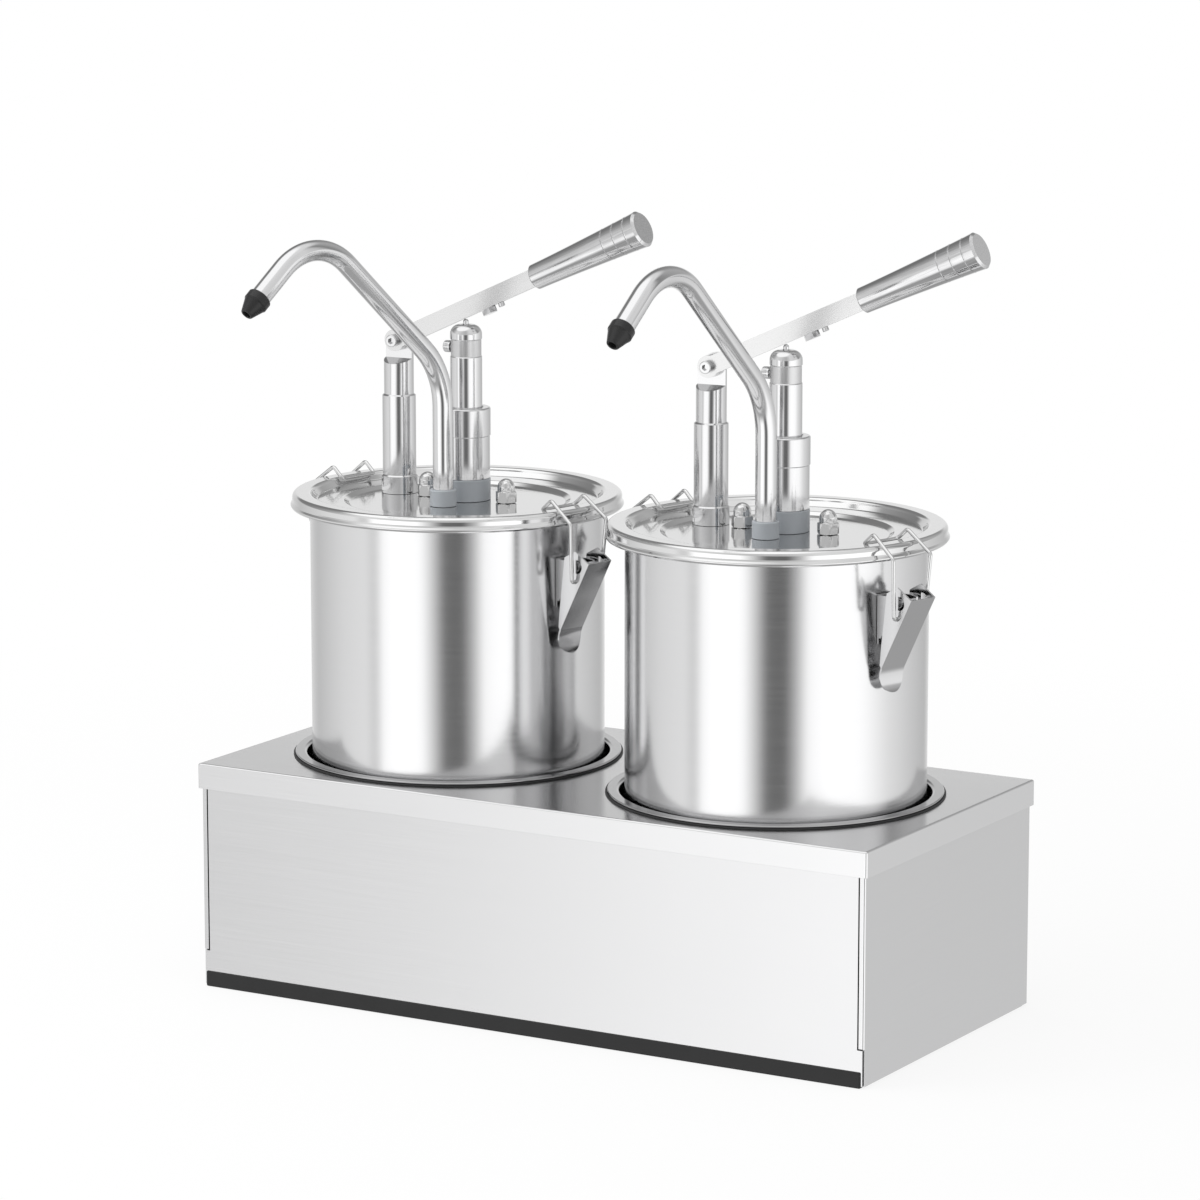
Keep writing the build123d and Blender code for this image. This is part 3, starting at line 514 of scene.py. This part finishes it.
def wire_tree(material):
    """Tube along a chain of edges, with a named radius and number of sides."""
    made, start, end = geometry_tree("drawn_tube_" + material.name,
                                     {"Radius": "NodeSocketFloat", "Sides": "NodeSocketInt"})
    path = put_node(made, "GeometryNodeMeshToCurve", {}, {0: Flow(start.outputs[0])})
    ring = put_node(made, "GeometryNodeCurvePrimitiveCircle", {"mode": "RADIUS"},
                    {"Resolution": Flow(start.outputs["Sides"]), "Radius": Flow(start.outputs["Radius"])})
    tube = put_node(made, "GeometryNodeCurveToMesh", {},
                    {"Curve": path, "Profile Curve": ring, "Fill Caps": True})
    close_tree(made, end, tube, material)
    return made


def drawn_tube(name, corners, radius, facets, tree, place):
    """Bent wire or tube of a radius in mm along the soft path of its corners."""
    crease = radians(40)
    chain = bpy.data.meshes.new(name)
    points = [place @ (point * mm) for point in soft_path(corners)]
    chain.from_pydata(points, [(i, i + 1) for i in range(len(points) - 1)], [])
    piece = grown(name, chain, tree, {"Radius": radius * mm, "Sides": facets})
    shape = bmesh.new()
    shape.from_mesh(piece.data)
    bmesh.ops.recalc_face_normals(shape, faces=shape.faces)
    for face in shape.faces:
        face.smooth = True
    for line in shape.edges:
        line.smooth = line.calc_face_angle(0) < crease
    shape.to_mesh(piece.data)
    shape.free()
    return piece


latch_turn = {
    "left": {"inner": -13.0, "outer": 168.0},
    "right": {"inner": 163.5, "outer": -17.0},
}
latch_polish = mirror_steel("latch_polish", tone=(0.70, 0.70, 0.705), rough=0.12, wear=0.08)
wire_polish = mirror_steel("wire_polish", tone=(0.72, 0.72, 0.72), rough=0.14, wear=0.08)
wire_run = wire_tree(wire_polish)
wire_radius, wire_bend, wire_facets = 1.3, 2.6, 20
bail_half = [
    ((121.0, 10.0, -46.6), 0), ((121.0, 14.0, -46.6), wire_bend), ((123.0, 17.0, -7.2), wire_bend),
    ((103.6, 15.5, 6.8), wire_bend), ((94.8, 15.5, -0.6), wire_bend),
]
bail_corners = bail_half + [((x, -y, z), bend) for (x, y, z), bend in reversed(bail_half)]
for side in sides:
    dressed(side + "_latch_brackets", latch_polish, edge=0.0002)
    for which in ("inner", "outer"):
        place = Matrix.Translation(well_axis[side] + Vector((0, 0, rim_top * mm)))
        place = place @ Matrix.Rotation(radians(latch_turn[side][which]), 4, "Z")
        bail = drawn_tube(side + "_" + which + "_bail_wire", bail_corners, wire_radius, wire_facets,
                          wire_run, place)
        stands_for(bail, side + "_" + which + "_bail", side + "_" + which + "_latch_bail")
        dressed(side + "_" + which + "_latch_lever", latch_polish, edge=0.00025, fold=0.0008)

# Pump heads: a stepped sleeve and a post turned from bar, a domed plunger with a dull ground band,
# domed nuts on the block's studs, and grey moulded rings where sleeve and spout leave the lid.

lid_turn = {"left": 1.85, "right": 4.77}
pump_back, spout_front, nut_reach = 12.8 * mm, 31.6 * mm, 30.8 * mm
pump_place = {}
for side in sides:
    place = Matrix.Translation(well_axis[side] + Vector((0, 0, disc_top * mm)))
    place = place @ Matrix.Rotation(radians(lid_turn[side]), 4, "Z")
    pump_place[side] = place @ Matrix.Translation((0, pump_back, 0))

sleeve_outline = [
    (11, -2.1, 0.2), (13.6, -2.1, 0.2), (13.6, 15.1, 0.1), (16, 15.1, 0.3), (16, 44.0, 0.2),
    (16.5, 44.5, 0.2), (16.5, 63.5, 1.2), (11.9, 63.5, 0.4), (11, 62.7, 0.3),
]
plunger_outline = [
    (0, -78, 0), (12.9, -78, 0.4), (12.9, -73, 0.2), (10, -73, 0.2), (10, -67, 0.2), (12.9, -67, 0.2),
    (12.9, -62, 0.3), (9, -62, 0.3), (5, -58, 0.3), (5, -8, 0.4), (10.9, -4, 0.8), (10.9, 98, 0.25),
    (10.4, 98.6, 0.2), (10.4, 109.7, 0.2), (10.9, 110.3, 0.3), (10.9, 119.9, 6.6), (4.3, 119.9, 1.0),
    (1.9, 120.2, 0.3), (1.9, 123.6, 1.88), (0, 123.6, 0),
]
ring_plastic = pale_plastic("ring_plastic", tone=(0.47, 0.50, 0.53), rough=0.40)
nut_polish = mirror_steel("nut_polish", tone=(0.70, 0.70, 0.70), rough=0.07, wear=0.02)
sleeve_ring = [(13.68, 0.2, 0.1), (16.3, 0.2, 0.3), (16.3, 15, 0.9), (13.68, 15, 0.1)]
spout_ring = [(7.08, 0.2, 0.1), (9, 0.2, 0.3), (9, 11.5, 0.9), (7.08, 11.5, 0.2)]


def plunger_steel(name):
    """Polished rod whose cap carries a dull ground band."""
    made, surface, place = finish_surface(name)
    band_middle, band_half = disc_top * mm + 0.10415, 0.0058
    bright, dull = (0.70, 0.70, 0.705), (0.62, 0.62, 0.62)
    rod_rough, band_rough, line_swing = 0.11, 0.26, 0.06
    height = place.node("ShaderNodeSeparateXYZ", {}, {"Vector": place}, "Z")
    band = height.math("COMPARE", height, band_middle, band_half)
    ground = place.node("ShaderNodeMapping", {}, {"Vector": place, "Scale": (300, 300, 5200)})
    lines = ground.noise(scale=1.0, detail=3.0)
    feed(surface, Base_Color=(band * lines).blend(bright, dull), Metallic=1.0,
         Normal=(lines * band).bump(strength=0.3, distance=0.00002),
         Roughness=rod_rough + band * band_rough + (lines - 0.5) * line_swing)
    return made


def acorn_nut(name, material):
    """Domed hexagon nut, chamfered top and bottom, standing on Z zero."""
    turns, flat, crease = 96, 6.5, radians(24)
    dome_radius, dome_foot = 5.9, 10.6
    levels = [(6.4, 0.2), (7.0, 0.5), (7.51, 1.0), (7.51, 7.0), (7.0, 7.6), (6.2, 8.0)]
    shoulder = [(dome_radius, 8.0), (dome_radius, dome_foot)]
    dome = [(dome_radius * cos(radians(a)), dome_foot + dome_radius * sin(radians(a)))
            for a in range(10, 90, 10)]
    rows = [(r, z, True) for r, z in levels] + [(r, z, False) for r, z in shoulder + dome]
    verts, faces = [], []
    for r, z, six in rows:
        for step in range(turns):
            angle = 2 * pi * step / turns
            side_angle = angle % (pi / 3) - pi / 6
            reach = min(r, flat / cos(side_angle)) if six else r
            verts.append((reach * cos(angle) * mm, reach * sin(angle) * mm, z * mm))
    for row in range(len(rows) - 1):
        for step in range(turns):
            after = (step + 1) % turns
            base = row * turns
            faces.append((base + step, base + after, base + turns + after, base + turns + step))
    verts.append((0, 0, (dome_foot + dome_radius) * mm))
    top = (len(rows) - 1) * turns
    for step in range(turns):
        faces.append((top + step, top + (step + 1) % turns, len(verts) - 1))
    faces.append(tuple(range(turns))[::-1])
    mesh = bpy.data.meshes.new(name)
    mesh.from_pydata(verts, [], faces)
    mesh.polygons.foreach_set("use_smooth", [True] * len(faces))
    mesh.set_sharp_from_angle(angle=crease)
    mesh.materials.append(material)
    return mesh


def set_out_tree(material):
    """Copies of one piece at the points of a mesh, each turned by a named step."""
    made, start, end = geometry_tree("set_out_" + material.name,
                                     {"Piece": "NodeSocketObject", "Turn": "NodeSocketFloat"})
    info = put_node(made, "GeometryNodeObjectInfo", {}, {0: Flow(start.outputs["Piece"])}, "Geometry")
    turn = put_node(made, "ShaderNodeCombineXYZ", {}, {"Z": Flow(start.outputs["Turn"])})
    spots = put_node(made, "GeometryNodeInstanceOnPoints", {},
                     {"Points": Flow(start.outputs[0]), "Instance": info, "Rotation": turn})
    close_tree(made, end, spots, material)
    return made


plunger_finish = plunger_steel("plunger_finish")
pump_turns, turned_edge = 96, 0.00012
nut_run = set_out_tree(nut_polish)
nut_turn = radians(12)
nut_pattern = bpy.data.objects.new("nut_pattern", acorn_nut("nut_pattern", nut_polish))
bpy.context.scene.collection.objects.link(nut_pattern)
for side in sides:
    place = pump_place[side]
    body = side + "_can"
    sleeve = spun(side + "_guide_sleeve", sleeve_outline, tube_polish, place, pump_turns, closed=True)
    stands_for(sleeve, body, side + "_pump_sleeve")
    rod = spun(side + "_push_rod", plunger_outline, plunger_finish, place, pump_turns)
    stands_for(rod, side + "_plunger", side + "_plunger")
    foot = place @ Matrix.Translation((0, -spout_front, 0))
    rings = [spun(side + "_sleeve_ring", sleeve_ring, ring_plastic, place, pump_turns, closed=True),
             spun(side + "_spout_ring", spout_ring, ring_plastic, foot, pump_turns, closed=True)]
    stands_for(joined(side + "_grey_rings", rings), body, side + "_lid_glands")
    points = bpy.data.meshes.new(side + "_nut_places")
    points.from_pydata([place @ Vector((x, 0, 0)) for x in (-nut_reach, nut_reach)], [], [])
    nuts = grown(side + "_domed_nuts", points, nut_run, {"Piece": nut_pattern, "Turn": nut_turn})
    stands_for(nuts, body, side + "_cap_nuts")
    for name in ("pump_post", "pivot_bolt", "cap_screw"):
        dressed(side + "_" + name, tube_polish, edge=turned_edge)
bpy.data.objects.remove(nut_pattern)

# Spouts and nozzles: 14 mm stainless tube bent to an arch that turns in its ring, with a black
# moulded tip pushed over the end.

spout_polish = mirror_steel("spout_polish", tone=(0.72, 0.72, 0.725), rough=0.10, wear=0.06)
spout_run = wire_tree(spout_polish)
tip_plastic = black_rubber("tip_plastic", shade=0.016, rough=0.26)
spout_heading = {"left": 15.0, "right": 5.0}
tube_radius, low_bend, high_bend, facets = 7.0, 55.9, 42.1, 72
below_lid, upright, slope, drop = 12, 67.8, 92.5, 30.5
lean, fall = radians(47.1), radians(180 - 49.8)
low_tangent = low_bend * tan(lean / 2)
high_tangent = high_bend * tan((fall - lean) / 2)
first = Vector((0, 0, upright + low_tangent))
second = first + Vector((0, -sin(lean), cos(lean))) * (low_tangent + slope + high_tangent)
third = second + Vector((0, -sin(fall), cos(fall))) * (high_tangent + drop)
spout_corners = [((0, 0, -below_lid), 0), (first, low_bend), (second, high_bend), (third, 0)]
tip_outline = [
    (7.05, -5, 0.2), (7.5, -5, 0.3), (8.3, -4.2, 0.5), (8.3, 1.0, 0.8), (7.6, 2.0, 3), (4.3, 10.6, 0.8),
    (3.9, 11, 0.3), (2.8, 11, 0.4), (2.8, 3, 0.5), (5, 0.4, 0.2), (7.05, 0.4, 0.1),
]
for side in sides:
    foot = pump_place[side] @ Matrix.Translation((0, -spout_front, 0))
    foot = foot @ Matrix.Rotation(radians(-spout_heading[side] - lid_turn[side]), 4, "Z")
    arch = drawn_tube(side + "_bent_spout", spout_corners, tube_radius, facets, spout_run, foot)
    stands_for(arch, side + "_spout", side + "_spout_tube")
    tip_place = foot @ Matrix.Translation(third * mm) @ Matrix.Rotation(fall, 4, "X")
    tip = spun(side + "_black_tip", tip_outline, tip_plastic, tip_place, facets, closed=True)
    stands_for(tip, side + "_spout", side + "_nozzle")

# Levers: a flat stainless bar bolted to the post, with a turned grip that flares to three fine
# grooves, and a hexagon screw under the bar.

post_reach, pivot_height, lever_rise = 55 * mm, 105.6 * mm, radians(24.5)
bar_steel = brushed_steel("bar_steel", grain=(40, 2200, 2200), tone=(0.70, 0.70, 0.70), rough=0.26,
                          depth=0.000003, turn=-lever_rise)


def drawn_polish(name, tone, rough):
    """Polished steel with fine drawn streaks along the lever."""
    made, surface, place = finish_surface(name)
    streak_long, streak_wide, streak_swing = 0.03, 0.0011, 0.1
    drawn = place.node("ShaderNodeMapping", {"vector_type": "TEXTURE"},
                       {"Vector": place, "Rotation": (0, -lever_rise, 0),
                        "Scale": (streak_long, streak_wide, streak_wide)})
    streaks = drawn.noise(scale=1.0, detail=4.0, roughness=0.7)
    worn = streaks.node("ShaderNodeMapRange", {}, {"Value": streaks, "From Min": 0.35, "From Max": 0.65})
    feed(surface, Base_Color=worn.blend(dimmed(tone, 0.78), tone), Metallic=1.0,
         Normal=streaks.bump(strength=0.1, distance=0.000004),
         Roughness=rough + (streaks - 0.5) * streak_swing)
    return made


grip_polish = drawn_polish("grip_polish", tone=(0.72, 0.72, 0.725), rough=0.09)
grip_start, grip_end = 119.5, 210
neck_radius, flare, flare_power = 8.75, 3.75, 1.3


def grip_radius(along):
    """The grip's radius at a distance from the lever's bolt, both in mm."""
    share = (along - grip_start) / (grip_end - grip_start)
    return neck_radius + flare * share ** flare_power


grip_outline = [(0, grip_start, 0), (7.95, grip_start, 0.2), (neck_radius, 120.3, 0.6)]
for along in range(126, 181, 6):
    grip_outline.append((grip_radius(along), along, 0))
groove_wide, groove_deep, groove_wall, outer_lip = 1.0, 0.5, 0.1, 0.03
for back in (28.5, 19.0, 9.5):
    groove = grip_end - back
    radius = grip_radius(groove)
    grip_outline += [
        (radius, groove, 0.15), (radius - groove_deep, groove + groove_wall, 0.1),
        (radius - groove_deep, groove + groove_wide - groove_wall, 0.1),
        (radius + outer_lip, groove + groove_wide, 0.15),
    ]
grip_outline += [(12.5, 208.4, 0.2), (10.9, grip_end, 0.3), (0, grip_end, 0)]
for side in sides:
    pivot = pump_place[side] @ Matrix.Translation((-post_reach, 0, pivot_height))
    pivot = pivot @ Matrix.Rotation(-lever_rise, 4, "Y")
    along_bar = pivot @ Matrix.Rotation(radians(90), 4, "Y")
    grip = spun(side + "_flared_grip", grip_outline, grip_polish, along_bar, turns=96)
    stands_for(grip, side + "_lever", side + "_lever_grip")
    dressed(side + "_lever_bar", bar_steel, edge=0.0004)
    dressed(side + "_stop_screw", tube_polish, edge=turned_edge)

# Floor, light and camera: a pale studio with a bright window on either side of the camera and a
# dark gap between them. What the steel mirrors is set apart from what lights the rest.

view_turn = radians(30.42)
world = bpy.data.worlds.new("studio")
bpy.context.scene.world = world
world.use_nodes = True
sky = world.node_tree
sky.nodes.clear()
ray = put_node(sky, "ShaderNodeTexCoord", {}, {}, "Generated")
ray_x, ray_y, ray_z = [put_node(sky, "ShaderNodeSeparateXYZ", {}, {"Vector": ray}, axis) for axis in "XYZ"]
around = (ray_x.math("ARCTAN2", ray_x, ray_y * -1) - view_turn) / (2 * pi) + 1.5
around = around.math("FRACT", around)
toward = ray_x * sin(view_turn) - ray_y * cos(view_turn)
across = ray_x * cos(view_turn) + ray_y * sin(view_turn)


def ring_of_light(levels):
    """Brightness round the object: degrees from the camera, positive to the right, and a level each."""
    stops = [(0.5 + angle / 360, level) for angle, level in levels]
    return around.node("ShaderNodeValToRGB", {"stops": stops}, {"Fac": around})


def fade(value, low, high):
    """Softly from 0 at one value to 1 at another."""
    return value.node("ShaderNodeMapRange", {"interpolation_type": "SMOOTHSTEP"},
                      {"Value": value, "From Min": low, "From Max": high, "To Min": 0.0, "To Max": 1.0})


def over(below, share, above):
    return below * (1 - share) + above * share


wall_power, ceiling_power, skylight_power, counter_power, room_power = 1.46, 0.94, 1.33, 0.46, 0.62
wall_light = ring_of_light([
    (-180, 0.62), (-168, 0.55), (-140, 0.44), (-100, 0.62), (-75, 0.68), (-68, 0.54), (-64, 0.60),
    (-59.5, 0.92), (-48, 1.0), (-27, 0.97), (-18, 0.56), (-9, 0.13), (5, 0.11), (14, 0.44), (22, 0.92),
    (40, 1.0), (66, 0.95), (92, 0.68), (118, 0.54), (150, 0.40), (170, 0.60), (180, 0.62),
]) * wall_power
upper_light = ring_of_light([
    (-180, 0.28), (-168, 0.24), (-150, 0.24), (-131, 0.30), (-103, 0.48), (-84, 0.78), (-68, 0.92),
    (-30, 0.74), (0, 0.60), (30, 0.92), (60, 0.84), (77, 0.88), (86, 0.70), (95, 0.30), (113, 0.46),
    (135, 0.52), (160, 0.36), (180, 0.28),
])
# The steel mirrors walls up to just above the object, the room over them, a ceiling, a skylight
# overhead a little to the left, and a duller counter below.
skylight = toward * 0.08 - across * 0.298 + ray_z * 0.951
mirrored = over(wall_light, fade(ray_z + toward * 0.12, 0.08, 0.20), upper_light)
mirrored = over(mirrored, fade(ray_z, 0.70, 0.90), ceiling_power)
mirrored = over(mirrored, fade(skylight, 0.79, 0.91), skylight_power)
mirrored = over(mirrored, fade(ray_z * -1, 0.42, 0.66), counter_power)
seen = put_node(sky, "ShaderNodeLightPath", {}, {}, "Is Camera Ray")
glossy = put_node(sky, "ShaderNodeLightPath", {}, {}, "Is Glossy Ray")
strength = seen + (1 - seen) * (glossy * mirrored + (1 - glossy) * room_power)
back = put_node(sky, "ShaderNodeBackground", {}, {"Color": (1, 1, 1, 1), "Strength": strength})
out = sky.nodes.new("ShaderNodeOutputWorld")
sky.links.new(back.socket, out.inputs["Surface"])

floor_reach, floor_height = 6.0, -0.0002
corners = [(x * floor_reach, y * floor_reach, floor_height) for x, y in ((-1, -1), (1, -1), (1, 1), (-1, 1))]
floor_mesh = bpy.data.meshes.new("floor")
floor_mesh.from_pydata(corners, [], [(0, 1, 2, 3)])
floor = bpy.data.objects.new("floor", floor_mesh)
bpy.context.scene.collection.objects.link(floor)
pale = bpy.data.materials.new("pale_floor")
pale.use_nodes = True
tree = pale.node_tree
tree.nodes.clear()
matt = put_node(tree, "ShaderNodeBsdfDiffuse", {}, {"Color": (0.9, 0.9, 0.9, 1)}, "BSDF")
glow = put_node(tree, "ShaderNodeEmission", {}, {"Color": (1, 1, 1, 1), "Strength": 1.0}, "Emission")
spot = put_node(tree, "ShaderNodeTexCoord", {}, {}, "Object")
away = put_node(tree, "ShaderNodeVectorMath", {"operation": "LENGTH"}, {0: spot}, "Value")
bare = put_node(tree, "ShaderNodeMapRange", {"interpolation_type": "SMOOTHSTEP"},
                {"Value": away, "From Min": 0.45, "From Max": 1.3, "To Min": 0.86, "To Max": 1.0})
mixed = put_node(tree, "ShaderNodeMixShader", {}, {0: bare, 1: matt, 2: glow}, "Shader")
end = tree.nodes.new("ShaderNodeOutputMaterial")
tree.links.new(mixed.socket, end.inputs["Surface"])
floor_mesh.materials.append(pale)
floor.visible_glossy = False


def soft_lamp(name, place, aim, size, power):
    """A rectangular lamp in watts that lights the floor and pieces but shows in no mirror."""
    data = bpy.data.lights.new(name, "AREA")
    data.shape = "RECTANGLE"
    data.size, data.size_y = size
    data.energy = power
    lamp = bpy.data.objects.new(name, data)
    bpy.context.scene.collection.objects.link(lamp)
    lamp.location = place
    lamp.rotation_euler = (Vector(aim) - Vector(place)).to_track_quat("-Z", "Y").to_euler()
    lamp.visible_glossy = False


soft_lamp("top_light", place=(-0.3, -0.4, 2.4), aim=(0, 0, 0.2), size=(2.0, 2.0), power=26)
soft_lamp("left_light", place=(-1.9, -1.6, 1.3), aim=(0, 0, 0.25), size=(1.6, 1.4), power=20)

eye = bpy.data.cameras.new("eye")
eye.lens = 156.8
eye.sensor_width = 36
eye.clip_start, eye.clip_end = 0.1, 50
camera = bpy.data.objects.new("eye", eye)
bpy.context.scene.collection.objects.link(camera)
camera.location = (1.7324, -2.9680, 0.9228)
camera.rotation_euler = (radians(79.29), 0, view_turn)
bpy.context.scene.camera = camera
bpy.context.scene.view_settings.view_transform = "Standard"
